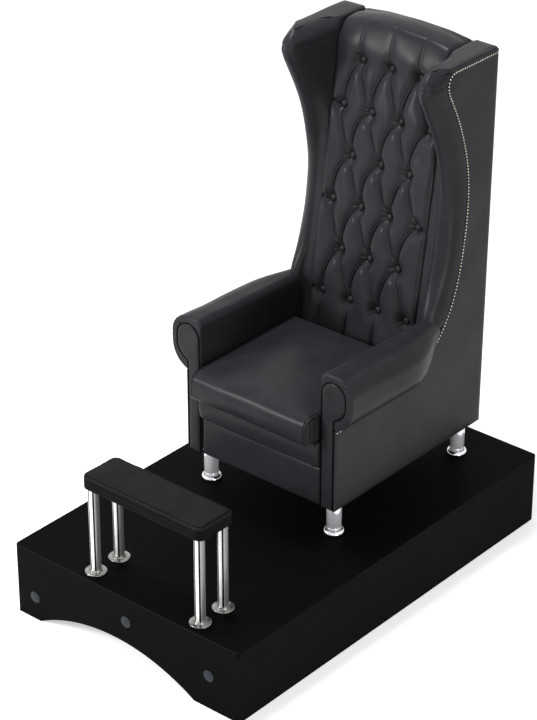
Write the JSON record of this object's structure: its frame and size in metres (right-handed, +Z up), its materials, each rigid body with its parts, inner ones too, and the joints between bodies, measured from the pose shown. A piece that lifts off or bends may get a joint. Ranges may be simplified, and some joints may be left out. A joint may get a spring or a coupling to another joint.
{
  "type": "pedicure spa chair",
  "caption": "Tufted high-back wing armchair in dark leatherette on chrome legs, on a raised platform with an arched front and a padded footrest on posts.",
  "frame": {"origin": "middle of the platform's underside, on the floor", "axes": "+Z up; the chair and the footrest face -Y; +X is to the right of someone who looks along +Y"},
  "size_m": [0.96, 1.55, 1.7635],
  "materials": {
    "leatherette": "charcoal leatherette with a soft sheen",
    "chrome": "polished",
    "steel": "nickel plated",
    "black_laminate": "smooth black laminate on board",
    "timber": "plain",
    "cap_plastic": "satin",
    "nail_brass": "antique",
    "black_cloth": "plain woven"
  },
  "bodies": {
    "chair_and_platform": {"back_cross_rails": "timber", "crest_roll": "leatherette", "dust_cover": "black_cloth", "footrest_backing_board": "timber", "footrest_board": "timber", "footrest_board_bolts": "steel", "footrest_cushion": "leatherette", "footrest_flange_screws": "steel", "footrest_flanges": "steel", "footrest_post_back_left": "chrome", "footrest_post_back_right": "chrome", "footrest_post_front_left": "chrome", "footrest_post_front_right": "chrome", "footrest_post_plugs": "cap_plastic", "front_panel_battens": "timber", "front_rail_roll": "leatherette", "left_arm_facing": "leatherette", "left_arm_pad": "leatherette", "left_back_post": "timber", "left_nail_trim": "nail_brass", "left_side_frame": "timber", "left_side_panel": "leatherette", "left_wing": "leatherette", "leg_back_left": "chrome", "leg_back_right": "chrome", "leg_blocks": "timber", "leg_front_left": "chrome", "leg_front_right": "chrome", "leg_nuts": "steel", "leg_plates": "steel", "leg_screws": "steel", "lower_front_panel": "leatherette", "outside_back_panel": "leatherette", "panel_cap_screws": "steel", "panel_caps": "cap_plastic", "platform_back_panel": "black_laminate", "platform_corner_blocks": "timber", "platform_deck": "black_laminate", "platform_front_panel": "black_laminate", "platform_left_panel": "black_laminate", "platform_ribs": "timber", "platform_right_panel": "black_laminate", "right_arm_facing": "leatherette", "right_arm_pad": "leatherette", "right_back_post": "timber", "right_nail_trim": "nail_brass", "right_side_frame": "timber", "right_side_panel": "leatherette", "right_wing": "leatherette", "seat_deck_pad": "black_cloth", "seat_rails": "timber", "seat_webbing": "black_cloth", "tufted_back": "leatherette", "tufting_board": "timber", "tufting_buttons": "leatherette"},
    "loose_cushion": {"seat_cushion": "leatherette"},
    "foot_front_left_screw": {"foot_front_left": "chrome"},
    "foot_front_right_screw": {"foot_front_right": "chrome"},
    "foot_back_left_screw": {"foot_back_left": "chrome"},
    "foot_back_right_screw": {"foot_back_right": "chrome"}
  },
  "joints": [
    {"name": "seat_cushion_lift", "type": "slide", "parent": "chair_and_platform", "child": "loose_cushion", "axis": [0, 0, 1], "range_m": [0, 0.25]},
    {"name": "foot_front_left_adjust", "type": "slide", "parent": "chair_and_platform", "child": "foot_front_left_screw", "axis": [0, 0, 1], "range_m": [0, 0.008]},
    {"name": "foot_front_right_adjust", "type": "slide", "parent": "chair_and_platform", "child": "foot_front_right_screw", "axis": [0, 0, 1], "range_m": [0, 0.008]},
    {"name": "foot_back_left_adjust", "type": "slide", "parent": "chair_and_platform", "child": "foot_back_left_screw", "axis": [0, 0, 1], "range_m": [0, 0.008]},
    {"name": "foot_back_right_adjust", "type": "slide", "parent": "chair_and_platform", "child": "foot_back_right_screw", "axis": [0, 0, 1], "range_m": [0, 0.008]}
  ]
}
